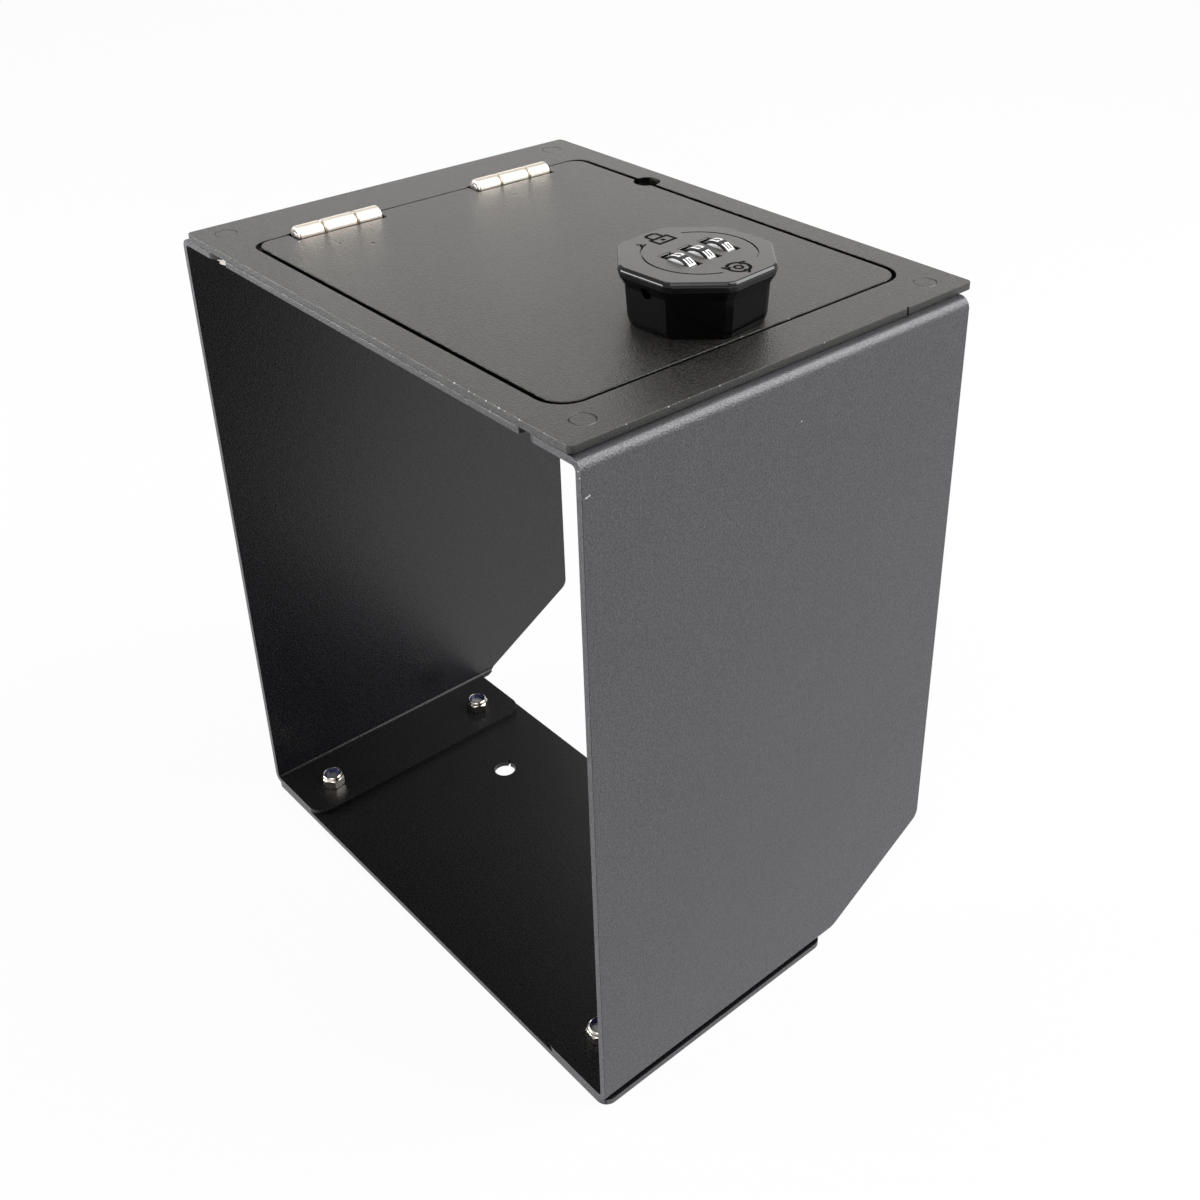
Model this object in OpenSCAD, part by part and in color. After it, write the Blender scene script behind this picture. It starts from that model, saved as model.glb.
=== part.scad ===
// Console safe: an open sheet steel cradle with a hinged, combination locked lid.
// X runs from left to right, Y from front to back and Z up.
// The origin is on the floor, under the middle of the shell.

/* [Shell] */
// Width of the top plate from left to right
plate_w = 200; // [170:1:260]
// Depth of the top plate from front to back
plate_d = 156; // [146:1:220]
// Height of the top plate's upper face above the floor
safe_h = 237; // [120:1:320]
// Thickness of the top plate and of the lid cut from it
plate_t = 2.5; // [1.8:0.1:4]
// Corner radius of the top plate
plate_corner_r = 1.8; // [1:0.2:6]
// Thickness of the folded side panels
panel_t = 2.2; // [1.5:0.1:3.2]
// Inner radius of the folds of the side panels
fold_r = 1.4; // [0.8:0.1:3]
// How far each side panel stands out past the top plate's edge
panel_proud = 4; // [2:0.5:6]
// How far the panels' back edges stay in front of the top plate's back edge
panel_set_back = 6; // [2:0.5:12]
// Width of the panels' top flanges
top_flange_w = 24; // [22:0.5:30]
// Corner radius of the top flanges
top_flange_r = 6; // [2:0.5:9]
// Width of the panels' bottom flanges
bottom_flange_w = 33; // [28:0.5:44]
// Corner radius of the bottom flanges
bottom_flange_r = 7; // [2:0.5:10]
// Height above the floor at which the slanted rear corner meets the panel's back edge
slant_h = 30.5; // [16:0.5:60]

/* [Base] */
// Depth of the base plate from the front edge
base_d = 101.2; // [80:0.2:120]
// Thickness of the base plate
base_t = 2.2; // [1.5:0.1:4]
// Corner radius of the base plate
base_corner_r = 4; // [2:0.5:12]
// How far the bottom flanges end in front of the base plate's back edge
flange_set_back = 1; // [0.5:0.1:4]
// Length of the small level step between a bottom flange's end and the slanted edge
foot_step = 3.2; // [1:0.2:6]
// Height of that step above the base plate
foot_rise = 1; // [0.4:0.1:2]
// Diameter of the holes that bolt the safe down
floor_hole_d = 8.4; // [5:0.1:12]
// Distance between the two bolt-down holes
floor_hole_spacing = 92; // [50:1:110]
// Distance of the bolt-down holes from the front edge
floor_hole_y = 72; // [20:1:74]

/* [Lid opening] */
// How far the left flange's inner edge stays behind the opening's left edge
hinge_seat = 4; // [3.6:0.1:5]
// How far the right flange reaches under the lid's side of the opening
lid_rest = 3.2; // [2.4:0.1:6]
// Width of the top plate in front of and behind the opening
frame_end = 9.7; // [8:0.1:14]
// Radius of the opening's corners beside the hinges
opening_left_r = 6; // [2:0.5:14]
// Radius of the opening's corners beside the lock
opening_r = 9.5; // [4:0.5:14]
// Gap between the lid's left edge and the opening
lid_hinge_gap = 0.5; // [0.4:0.1:1]
// Gap between the lid's right edge and the opening
lid_side_gap = 1.2; // [1:0.1:2]
// Gap between the lid and the opening at the front and the back
lid_end_gap = 1.8; // [1:0.1:3]
// Diameter of the finger notch in the lid's rear gap
notch_d = 9.5; // [6:0.1:14]
// Distance of the finger notch from the lid's left edge
notch_x = 37.5; // [20:0.5:60]
// Width of the two ledges that the lid closes on
ledge_w = 16; // [14:0.5:30]
// Thickness of the ledges
ledge_t = 2.2; // [1.5:0.1:4]
// How far each ledge starts from the left flange
ledge_left_gap = 5.8; // [0.5:0.1:8]
// How far each ledge ends from the right flange
ledge_right_gap = 0.5; // [0.4:0.1:3]

/* [Hinges] */
// Distance of the front hinge's middle from the front edge
front_hinge_y = 40.3; // [34:0.1:48]
// Distance of the rear hinge's middle from the back edge
rear_hinge_y = 44.4; // [34:0.1:52]
// Length of each hinge's barrel
hinge_l = 31.2; // [24:0.2:36]
// Length of the lid leaf's knuckle in the middle of the barrel
middle_knuckle_l = 12; // [8:0.2:16]
// Radius of the barrel
barrel_r = 3.3; // [2.8:0.1:3.8]
// Radius of the hinge pin
hinge_pin_r = 1.6; // [1:0.1:2]
// Distance of the hinge axis from the opening's left edge
axis_inset = 3.1; // [2.8:0.1:3.6]
// Thickness of the hinge leaves
leaf_t = 1.5; // [1:0.1:2]
// Width of the lid leaf from the hinge axis
lid_leaf_w = 16; // [10:0.5:22]

/* [Fasteners] */
// Thread diameter of the flush studs
stud_d = 5; // [4:0.1:5.6]
// Diameter of the flush stud heads
stud_head_d = 7; // [6.2:0.1:8]
// Thickness of the flush stud heads
stud_head_t = 1.2; // [0.8:0.1:1.4]
// Width across the flats of the lock nuts
nut_flats = 8; // [7.4:0.1:9.4]
// Height of the hexagon of the lock nuts
nut_h = 3.6; // [3:0.1:5]
// Height of the round collar above the hexagon
collar_h = 1.5; // [1:0.1:2.4]
// Distance of the top studs from the panels' outer faces
top_stud_inset = 13; // [11:0.5:14]
// Distance of the rear top studs from the panels' back edges
top_stud_end = 5.5; // [5:0.5:10]
// How much further to the front the front left top stud stands than the front right one
stray_stud_front = 2.3; // [0:0.1:3]
// How much further in it stands
stray_stud_in = 0.5; // [-1:0.1:1]
// Distance of the base studs from the panels' outer faces
base_stud_inset = 20.2; // [14:0.1:22]
// Distance of the base studs from both ends of the bottom flanges
base_stud_end = 14.6; // [8:0.2:20]

/* [Combination knob] */
// Distance of the lock's axis from the lid's right edge
lock_inset = 21; // [18.5:0.5:26]
// Angle by which the knob stands turned from square to the lid
knob_turn = 4.5; // [-4:0.5:10]
// Height of the knob above the lid
knob_h = 18; // [18:0.1:22]
// Width across the flats of the knob's body just below its shoulder
knob_flats = 40.8; // [40:0.1:42]
// Width across the flats of the knob's body just above its rounded foot
foot_flats = 39.6; // [38.6:0.1:40]
// Height of the rounded foot above the lid
foot_h = 2.5; // [1.5:0.1:4]
// How far the rounded foot draws in
foot_draw = 0.6; // [0.2:0.1:1]
// Height of the shoulder that slants out below the cap
shoulder_h = 2.8; // [2:0.1:4]
// Width across the flats at the cap's lower edge
shoulder_flats = 43.8; // [43:0.1:44]
// Width across the flats of the cap's widest edge
cap_flats = 44.9; // [44.6:0.1:48]
// Width across the flats of the cap's top face
cap_top_flats = 43.6; // [42:0.1:44]
// Thickness of the cap
cap_t = 3.4; // [2.6:0.1:4]
// Height of the bevel round the cap's top face
cap_bevel_h = 1.1; // [0.4:0.1:1.4]
// How much is cut off the eight corners of the knob's body and cap
knob_corner_cut = 0.5; // [0.1:0.05:1]
// Depth of the marks cut into the cap
mark_depth = 0.3; // [0.1:0.1:0.6]
// Radius of the two curved marks on the cap
mark_r = 16.6; // [15.5:0.1:18]
// Width of the curved marks
mark_w = 0.6; // [0.4:0.1:1]

/* [Dials] */
// Radius of the number dials
dial_r = 7.5; // [7:0.1:7.6]
// Width of each dial
dial_w = 3.5; // [3:0.1:5]
// Distance from one dial to the next
dial_pitch = 8.1; // [7.6:0.1:8.4]
// How far the middle dial stands behind the knob's axis
dial_shift = 1.2; // [0:0.1:1.6]
// How far the dials stand out of the cap
dial_proud = 1.5; // [1.4:0.1:2]
// Length of the windows in the cap's top face
window_l = 12.4; // [11:0.1:14]
// Radius of the axle that carries the dials
axle_r = 1.6; // [1.2:0.1:1.65]
// Diameter of the reset hole in the knob's front face
reset_hole_d = 3.6; // [3.5:0.1:5]
// Depth of the reset hole
reset_hole_depth = 2.5; // [1.5:0.1:3.5]

/* [Lock works] */
// Radius of the threaded barrel
lock_barrel_r = 9.5; // [8.5:0.1:10]
// Width across the two flats of the barrel
lock_barrel_flats = 16.4; // [15:0.1:16.8]
// How far the barrel reaches below the lid's upper face
lock_barrel_depth = 12; // [11:0.5:16]
// Radius of the barrel's flange and gasket
lock_flange_r = 15.5; // [14:0.1:16]
// Thickness of the barrel's flange
lock_flange_t = 1.2; // [1:0.1:1.3]
// Thickness of the gasket under the flange
gasket_t = 0.5; // [0.4:0.1:0.6]
// Radius of the drive plate inside the knob
drive_plate_r = 15; // [14.6:0.1:15.8]
// Thickness of the drive plate
drive_plate_t = 1.2; // [1.1:0.1:1.3]
// Radius of the spindle
spindle_r = 4; // [3.5:0.1:5]
// Width of the square end of the spindle
spindle_square = 5.6; // [5.4:0.1:6.6]
// Thickness of the toothed washer under the lid
lock_washer_t = 1; // [0.6:0.1:1.4]
// Radius of that washer
lock_washer_r = 12.5; // [11:0.1:13]
// Width across the flats of the lock's nut
lock_nut_flats = 24; // [22:0.5:25]
// Height of the lock's nut
lock_nut_h = 4.5; // [3:0.1:5]
// Distance from the lock's axis to the tip of the cam
cam_reach = 27; // [25:0.5:30]
// Width of the cam's arm
cam_w = 14; // [10:0.5:16]
// Thickness of the cam
cam_t = 2.5; // [2:0.1:3]
// Radius of the cam's washer
cam_washer_r = 6; // [5:0.1:7]
// Thickness of the cam's washer
cam_washer_t = 1; // [0.6:0.1:1.6]
// Width across the flats of the cam's screw
cam_screw_flats = 8; // [7:0.1:10]
// Height of the cam's screw head
cam_screw_head_h = 3.5; // [2:0.1:4]
// Thread radius of the cam's screw
cam_screw_r = 2; // [1.5:0.1:2.2]
// Length of the cam's screw below its head
cam_screw_l = 10; // [6:0.5:12]

/* [Hidden] */
$fn = 64;
// How far every cut runs past the face that it opens
overrun = 1;
// Running clearance around pins, axles and the spindle
run_gap = 0.05;
// Clearance between two pieces that move past each other
move_gap = 0.35;
// Clearance around fasteners in their plain holes
hole_gap = 0.2;
// Clearance beside the hinge barrels in the notches of the plate and lid
barrel_gap = 0.5;
// Clearance at the ends of the hinge barrels
barrel_end_gap = 1;
// How far a hinge pin stands out of its barrel at each end
pin_end = 0.4;
// Distance from the flange to the frame leaf of a hinge
leaf_gap = 0.5;
// Nick in the right edge of the top plate: width, depth and distance from the back edge
nick_w = 0.7;
nick_depth = 0.8;
nick_y = 30.5;
// Wall of the nylon ring's groove in a lock nut, and how far the ring stays below the collar
collar_wall = 0.6;
ring_drop = 0.2;
// Angles over which the curved marks on the cap run
mark_from = [30, 200];
mark_sweep = [121, 135];
// Detent springs: thickness, width taken off the dial slot, and shortening at both ends
spring_t = 0.4;
spring_side_gap = 0.5;
spring_end_gap = 1.2;
// Screws that hold the drive plate: thread radius, head radius, head thickness, length and place
drive_screw_r = 1.25;
drive_screw_head_r = 2.2;
drive_screw_head_t = 0.8;
drive_screw_l = 6;
drive_screw_x = 12;
// Distance of the cam below the barrel, and of its raised tip below the flange
cam_gap = 0.5;

panel_out = plate_w / 2 + panel_proud;
half_d = plate_d / 2;
top_z = safe_h;
under_plate_z = safe_h - plate_t;
under_flange_z = under_plate_z - panel_t;
panel_back = half_d - panel_set_back;
base_back = base_d - half_d;
flange_back = base_back - flange_set_back;
top_flange_x = panel_out - top_flange_w;
bottom_flange_x = panel_out - bottom_flange_w;
open_left = hinge_seat - top_flange_x;
open_right = top_flange_x + lid_rest;
open_y = half_d - frame_end;
lid_left = open_left + lid_hinge_gap;
lid_right = open_right - lid_side_gap;
lid_y = open_y - lid_end_gap;
hinge_x = open_left + axis_inset;
hinge_ys = [front_hinge_y - half_d, half_d - rear_hinge_y];
outer_knuckle_l = (hinge_l - middle_knuckle_l) / 2;
stud_r = stud_d / 2;
top_stud_x = panel_out - top_stud_inset;
top_stud_y = panel_back - top_stud_end;
stray_stud = [top_stud_x - stray_stud_in, -top_stud_y - stray_stud_front];
top_stud_places = [[-stray_stud[0], stray_stud[1]], [-top_stud_x, top_stud_y],
    [top_stud_x, -top_stud_y], [top_stud_x, top_stud_y]];
base_stud_x = panel_out - base_stud_inset;
base_stud_ys = [base_stud_end - half_d, flange_back - base_stud_end];
base_stud_places = [for (x = [-base_stud_x, base_stud_x], y = base_stud_ys) [x, y]];
lock_x = lid_right - lock_inset;
cap_z = knob_h - cap_t;
shoulder_z = cap_z - shoulder_h;
axle_z = knob_h + dial_proud - dial_r;
slot_l = 2 * (dial_r + move_gap);
slot_w = dial_w + 2 * move_gap;
dial_ys = [dial_shift - dial_pitch, dial_shift, dial_shift + dial_pitch];
axle_back = -dial_shift - dial_pitch - slot_w;
axle_front = knob_flats / 2 - reset_hole_depth;
drive_plate_z = gasket_t + lock_flange_t + move_gap;
drive_top = drive_plate_z + drive_plate_t;
spring_bump = axle_z - dial_r - move_gap - drive_top - spring_t;
washer_z = -plate_t - lock_washer_t;
lock_nut_z = washer_z - lock_nut_h;
cam_z = -lock_barrel_depth - cam_gap - cam_t;
cam_tip_top = -plate_t - panel_t - cam_gap;
cam_riser_r = lock_nut_flats / 2 / cos(30) + overrun;
cam_screw_z = cam_z - cam_washer_t;

coat = [0.2, 0.2, 0.21];
top_coat = [0.45, 0.44, 0.43];
nickel = [0.78, 0.76, 0.72];
nylon = [0.1, 0.16, 0.32];
knob_black = [0.1, 0.1, 0.11];
knob_grey = [0.5, 0.49, 0.48];
dial_black = [0.07, 0.07, 0.08];
zinc = [0.66, 0.66, 0.64];

// A rectangle from (x0, y0) to (x1, y1) with round corners of one radius at the left and one at the right
module rounded_slab(x0, x1, y0, y1, left_r, r) {
    translate([x0 + left_r, y0]) square([x1 - x0 - left_r - r, y1 - y0]);
    translate([x0, y0 + left_r]) square([x1 - x0 - r, y1 - y0 - 2 * left_r]);
    translate([x0 + left_r, y0 + r]) square([x1 - x0 - left_r, y1 - y0 - 2 * r]);
    for (y = [y0 + left_r, y1 - left_r]) translate([x0 + left_r, y]) circle(left_r);
    for (y = [y0 + r, y1 - r]) translate([x1 - r, y]) circle(r);
}

// What a round corner of radius r takes off the corner at the origin
module corner_waste(r) {
    difference() {
        translate([-overrun, -overrun]) square(r + overrun);
        translate([r, r]) circle(r);
    }
}

// An upright hole of radius r from z0 to z1 at (x, y)
module drill(x, y, r, z0, z1) {
    translate([x, y, z0]) cylinder(r = r, h = z1 - z0);
}

// The openings in the plate and the lid that the hinge barrels lie in
module hinge_notches() {
    for (y = hinge_ys)
        translate([hinge_x - barrel_r - barrel_gap, y - hinge_l / 2 - barrel_end_gap])
            square([2 * (barrel_r + barrel_gap), hinge_l + 2 * barrel_end_gap]);
}

module finger_notch() {
    translate([lid_left + notch_x, open_y]) circle(notch_d / 2);
}

module top_frame() {
    color(top_coat) difference() {
        translate([0, 0, under_plate_z]) linear_extrude(plate_t) difference() {
            rounded_slab(-plate_w / 2, plate_w / 2, -half_d, half_d, plate_corner_r, plate_corner_r);
            rounded_slab(open_left, open_right, -open_y, open_y, opening_left_r, opening_r);
            hinge_notches();
            finger_notch();
            translate([plate_w / 2 - nick_depth, half_d - nick_y]) square([nick_depth + overrun, nick_w]);
        }
        for (p = top_stud_places) {
            drill(p[0], p[1], stud_r + run_gap, under_plate_z - overrun, top_z + overrun);
            drill(p[0], p[1], stud_head_d / 2 + run_gap, top_z - stud_head_t, top_z + overrun);
        }
    }
}

// The double flatted outline of the lock's barrel, widened by gap
module barrel_outline(gap) {
    intersection() {
        circle(lock_barrel_r + gap);
        square([2 * (lock_barrel_r + gap), lock_barrel_flats + 2 * gap], center = true);
    }
}

module lid() {
    color(top_coat) translate([0, 0, under_plate_z]) linear_extrude(plate_t) difference() {
        rounded_slab(lid_left, lid_right, -lid_y, lid_y,
            opening_left_r - lid_hinge_gap, opening_r - lid_end_gap);
        hinge_notches();
        finger_notch();
        translate([lock_x, 0]) barrel_outline(hole_gap);
    }
}

// Cross section of the right panel, drawn as X and Z, with its two folded flanges
module panel_section() {
    fold = fold_r + panel_t;
    panel_h = under_plate_z - base_t;
    difference() {
        fold_blank(bottom_flange_x, panel_out, base_t, under_plate_z, fold);
        fold_blank(bottom_flange_x - overrun, panel_out - panel_t, base_t + panel_t, under_flange_z, fold_r);
        translate([bottom_flange_x - overrun, base_t + panel_h / 2])
            square([top_flange_x - bottom_flange_x + overrun, panel_h / 2 + overrun]);
    }
}

// A rectangle whose two right corners are round
module fold_blank(x0, x1, y0, y1, r) {
    translate([x0, y0]) square([x1 - x0 - r, y1 - y0]);
    translate([x0, y0 + r]) square([x1 - x0, y1 - y0 - 2 * r]);
    for (y = [y0 + r, y1 - r]) translate([x1 - r, y]) circle(r);
}

// Round corners cut from a flange whose inner edge is at x, from front to back, between z0 and z1
module flange_corners(x, back, r, z0, z1) {
    translate([0, 0, z0]) linear_extrude(z1 - z0) {
        translate([x, -half_d]) corner_waste(r);
        translate([x, back]) mirror([0, 1]) corner_waste(r);
    }
}

// The right panel; front_stud is the place of its front top stud
module side_panel(front_stud) {
    difference() {
        translate([0, panel_back, 0]) rotate([90, 0, 0])
            linear_extrude(half_d + panel_back) panel_section();
        translate([bottom_flange_x - overrun, 0, 0]) rotate([90, 0, 90])
            linear_extrude(bottom_flange_w + 2 * overrun) polygon([
                [flange_back, 0],
                [flange_back, base_t + foot_rise],
                [flange_back + foot_step, base_t + foot_rise],
                [panel_back, slant_h],
                [panel_back + overrun, slant_h],
                [panel_back + overrun, 0]
            ]);
        translate([bottom_flange_x - overrun, flange_back, base_t])
            cube([bottom_flange_w - panel_t - fold_r + overrun, panel_back, panel_t + overrun]);
        flange_corners(top_flange_x, panel_back, top_flange_r, under_flange_z - overrun, top_z);
        flange_corners(bottom_flange_x, flange_back, bottom_flange_r, 0, base_t + panel_t + overrun);
        for (p = [front_stud, [top_stud_x, top_stud_y]])
            drill(p[0], p[1], stud_r + hole_gap, under_flange_z - overrun, top_z);
        for (y = base_stud_ys)
            drill(base_stud_x, y, stud_r + hole_gap, 0, base_t + panel_t + overrun);
    }
}

module right_panel() {
    color(coat) side_panel([top_stud_x, -top_stud_y]);
}

module left_panel() {
    color(coat) mirror([1, 0, 0]) side_panel(stray_stud);
}

module base_plate() {
    color(coat) difference() {
        linear_extrude(base_t)
            rounded_slab(-panel_out, panel_out, -half_d, base_back, base_corner_r, base_corner_r);
        for (x = [-floor_hole_spacing / 2, floor_hole_spacing / 2])
            drill(x, floor_hole_y - half_d, floor_hole_d / 2, -overrun, base_t + overrun);
        for (p = base_stud_places) {
            drill(p[0], p[1], stud_r + run_gap, -overrun, base_t + overrun);
            drill(p[0], p[1], stud_head_d / 2 + run_gap, -overrun, stud_head_t);
        }
    }
}

// The front ledge, cut back where the lid's edge swings down; the rear one is its mirror image
module ledge() {
    ledge_left = ledge_left_gap - top_flange_x;
    difference() {
        translate([ledge_left, -half_d, under_plate_z - ledge_t])
            cube([2 * top_flange_x - ledge_left_gap - ledge_right_gap, ledge_w, ledge_t]);
        translate([ledge_left - overrun, -lid_y - lid_end_gap, under_plate_z - ledge_t - overrun])
            cube([hinge_x + axis_inset - ledge_left + overrun, ledge_w, ledge_t + 2 * overrun]);
    }
}

module front_ledge() {
    color(coat) ledge();
}

module rear_ledge() {
    color(coat) mirror([0, 1, 0]) ledge();
}

// One length of a hinge's barrel, bored for the pin, from y0 to y1 along the axis
module knuckle(y0, y1) {
    translate([0, y0, 0]) rotate([-90, 0, 0]) difference() {
        cylinder(r = barrel_r, h = y1 - y0);
        translate([0, 0, -overrun]) cylinder(r = hinge_pin_r + run_gap, h = y1 - y0 + 2 * overrun);
    }
}

// The level part of a leaf, below the plates, from (x0, y0) to (x1, y1)
module leaf_plate(x0, x1, y0, y1) {
    translate([x0, y0, -plate_t - leaf_t]) cube([x1 - x0, y1 - y0, leaf_t]);
}

// Frame leaf drawn with the hinge axis at the origin: the two outer knuckles and their plate
module frame_leaf() {
    far = leaf_gap - top_flange_x - hinge_x;
    color(nickel) for (side = [-1, 1]) {
        y0 = side < 0 ? -hinge_l / 2 : middle_knuckle_l / 2 + move_gap;
        y1 = side < 0 ? -middle_knuckle_l / 2 - move_gap : hinge_l / 2;
        knuckle(y0, y1);
        leaf_plate(far, 0, y0, y1);
    }
    color(nickel) leaf_plate(far, -barrel_r - move_gap, -hinge_l / 2, hinge_l / 2);
}

// Lid leaf drawn with the hinge axis at the origin: the middle knuckle and its plate
module lid_leaf() {
    color(nickel) {
        knuckle(-middle_knuckle_l / 2, middle_knuckle_l / 2);
        leaf_plate(0, lid_leaf_w, -middle_knuckle_l / 2, middle_knuckle_l / 2);
        leaf_plate(barrel_r + barrel_gap, lid_leaf_w, -hinge_l / 2, hinge_l / 2);
    }
}

module hinge_pin() {
    color(nickel) translate([0, -hinge_l / 2 - pin_end, 0]) rotate([-90, 0, 0])
        cylinder(r = hinge_pin_r, h = hinge_l + 2 * pin_end);
}

// Places a hinge part at hinge number i, the front one being 0
module at_hinge(i) {
    translate([hinge_x, hinge_ys[i], top_z]) children();
}

// A flush stud whose head is level with the origin and whose thread runs down through grip
module stud(grip) {
    color(zinc) {
        translate([0, 0, -stud_head_t]) cylinder(d = stud_head_d, h = stud_head_t);
        translate([0, 0, -grip - nut_h]) cylinder(r = stud_r, h = grip + nut_h);
    }
}

// A stud's lock nut seated at the origin, with a round collar that holds the nylon ring
module stud_nut() {
    color(nickel) difference() {
        union() {
            cylinder(d = nut_flats / cos(30), h = nut_h, $fn = 6);
            cylinder(d = nut_flats - hole_gap, h = nut_h + collar_h);
        }
        drill(0, 0, stud_r + run_gap, -overrun, nut_h + collar_h + overrun);
        drill(0, 0, nut_flats / 2 - collar_wall, nut_h, nut_h + collar_h + overrun);
    }
}

module nut_ring() {
    color(nylon) difference() {
        drill(0, 0, nut_flats / 2 - collar_wall - run_gap, nut_h, nut_h + collar_h - ring_drop);
        drill(0, 0, stud_r - hole_gap, nut_h - overrun, nut_h + collar_h + overrun);
    }
}

// Copies a fastener seated on the underside of the top flanges
module under_top_flanges() {
    for (p = top_stud_places) translate([p[0], p[1], under_flange_z]) mirror([0, 0, 1]) children();
}

// Copies a fastener seated on the bottom flanges
module on_bottom_flanges() {
    for (p = base_stud_places) translate([p[0], p[1], base_t + panel_t]) children();
}

module top_studs() {
    for (p = top_stud_places) translate([p[0], p[1], top_z]) stud(plate_t + panel_t);
}

module base_studs() {
    for (p = base_stud_places) translate([p[0], p[1], 0]) mirror([0, 0, 1]) stud(base_t + panel_t);
}

// Places a piece of the lock, drawn about the lock's axis from the lid's upper face
module at_lock() {
    translate([lock_x, 0, top_z]) children();
}

// The same for the pieces that turn with the knob
module at_knob() {
    at_lock() rotate(knob_turn) children();
}

// Distance of the knob's side number i from its axis; every second side is a cut corner
function knob_side(flats, i) = i % 2 == 0 ? flats / 2 : flats / 2 / cos(22.5) - knob_corner_cut;

// An octagonal block planed to a profile of [width across the flats, height] points
module planed_octagon(profile) {
    bottom = profile[0];
    top = profile[len(profile) - 1];
    blank_r = cap_flats / 2 / cos(22.5) + overrun;
    difference() {
        drill(0, 0, blank_r, bottom[1], top[1]);
        for (i = [0 : 15])
            rotate(22.5 * i) translate([0, blank_r, 0]) rotate([90, 0, 0]) linear_extrude(2 * blank_r)
                polygon(concat(
                    [[knob_side(bottom[0], i), bottom[1] - overrun]],
                    [for (p = profile) [knob_side(p[0], i), p[1]]],
                    [[knob_side(top[0], i), top[1] + overrun]],
                    [[blank_r + overrun, top[1] + overrun], [blank_r + overrun, bottom[1] - overrun]]
                ));
    }
}

module knob_body() {
    at_knob() color(knob_black) difference() {
        planed_octagon([
            [foot_flats - 2 * foot_draw, move_gap],
            [foot_flats, foot_h],
            [knob_flats, shoulder_z],
            [shoulder_flats, cap_z]
        ]);
        drill(0, 0, lock_flange_r + move_gap, 0, drive_top);
        for (y = dial_ys)
            translate([-slot_l / 2, y - slot_w / 2, drive_top - overrun]) cube([slot_l, slot_w, knob_h]);
        translate([0, 0, axle_z]) rotate([90, 0, 0]) {
            drill(0, 0, axle_r + run_gap, axle_back, axle_front + overrun);
            drill(0, 0, reset_hole_d / 2, axle_front, knob_flats / 2 + overrun);
        }
        for (x = [-drive_screw_x, drive_screw_x])
            drill(x, 0, drive_screw_r + run_gap, drive_top - overrun, drive_plate_z + drive_screw_l + overrun);
    }
}

// One curved mark of the cap, from angle a0 over the angle sweep
module curved_mark(a0, sweep) {
    translate([0, dial_shift, 0]) rotate(a0) rotate_extrude(angle = sweep)
        translate([mark_r - mark_w / 2, knob_h - mark_depth]) square([mark_w, mark_depth + overrun]);
}

module knob_cap() {
    at_knob() color(knob_grey) difference() {
        planed_octagon([[shoulder_flats, cap_z], [cap_flats, knob_h - cap_bevel_h], [cap_top_flats, knob_h]]);
        for (y = dial_ys) {
            translate([-window_l / 2, y - slot_w / 2, cap_z - overrun])
                cube([window_l, slot_w, cap_t + 2 * overrun]);
            translate([0, y + slot_w / 2, axle_z]) rotate([90, 0, 0])
                cylinder(r = dial_r + move_gap, h = slot_w);
        }
        for (i = [0, 1]) curved_mark(mark_from[i], mark_sweep[i]);
    }
}

// Number dial i, counted from the front
module dial(i) {
    at_knob() color(dial_black) translate([0, dial_ys[i] + dial_w / 2, axle_z]) rotate([90, 0, 0])
        difference() {
            cylinder(r = dial_r, h = dial_w);
            translate([0, 0, -overrun]) cylinder(r = axle_r + run_gap, h = dial_w + 2 * overrun);
        }
}

module dial_axle() {
    at_knob() color(nickel) translate([0, 0, axle_z]) rotate([90, 0, 0])
        drill(0, 0, axle_r, axle_back + run_gap, axle_front);
}

// A strip under each dial with a bump that rests just below its rim
module detent_springs() {
    at_knob() color(nickel) for (y = dial_ys) translate([0, y - slot_w / 2 + spring_side_gap, drive_top]) {
        translate([spring_end_gap - slot_l / 2, 0, 0])
            cube([slot_l - 2 * spring_end_gap, slot_w - 2 * spring_side_gap, spring_t]);
        intersection() {
            translate([0, 0, spring_t]) rotate([-90, 0, 0])
                cylinder(r = spring_bump, h = slot_w - 2 * spring_side_gap);
            translate([-slot_l / 2, 0, 0]) cube([slot_l, slot_w, spring_t + spring_bump + overrun]);
        }
    }
}

module drive_plate() {
    square_top = -lock_barrel_depth - cam_gap / 2;
    at_knob() color(zinc) difference() {
        union() {
            drill(0, 0, drive_plate_r, drive_plate_z, drive_top);
            drill(0, 0, spindle_r, square_top, drive_plate_z);
            translate([-spindle_square / 2, -spindle_square / 2, cam_z])
                cube([spindle_square, spindle_square, square_top - cam_z]);
        }
        drill(0, 0, cam_screw_r + run_gap, cam_z - overrun, cam_screw_z + cam_screw_l + overrun);
        for (x = [-drive_screw_x, drive_screw_x]) {
            drill(x, 0, drive_screw_r + run_gap, 0, drive_top + overrun);
            drill(x, 0, drive_screw_head_r + run_gap, 0, drive_plate_z + drive_screw_head_t);
        }
    }
}

module drive_screws() {
    at_knob() color(nickel) for (x = [-drive_screw_x, drive_screw_x]) {
        drill(x, 0, drive_screw_head_r, drive_plate_z, drive_plate_z + drive_screw_head_t);
        drill(x, 0, drive_screw_r, drive_plate_z, drive_plate_z + drive_screw_l);
    }
}

module lock_barrel() {
    at_lock() color(zinc) difference() {
        union() {
            drill(0, 0, lock_flange_r, gasket_t, gasket_t + lock_flange_t);
            translate([0, 0, -lock_barrel_depth]) linear_extrude(lock_barrel_depth + gasket_t) barrel_outline(0);
        }
        drill(0, 0, spindle_r + run_gap, -lock_barrel_depth - overrun, gasket_t + lock_flange_t + overrun);
    }
}

module lock_gasket() {
    at_lock() color(dial_black) linear_extrude(gasket_t) difference() {
        circle(lock_flange_r);
        barrel_outline(hole_gap);
    }
}

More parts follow.
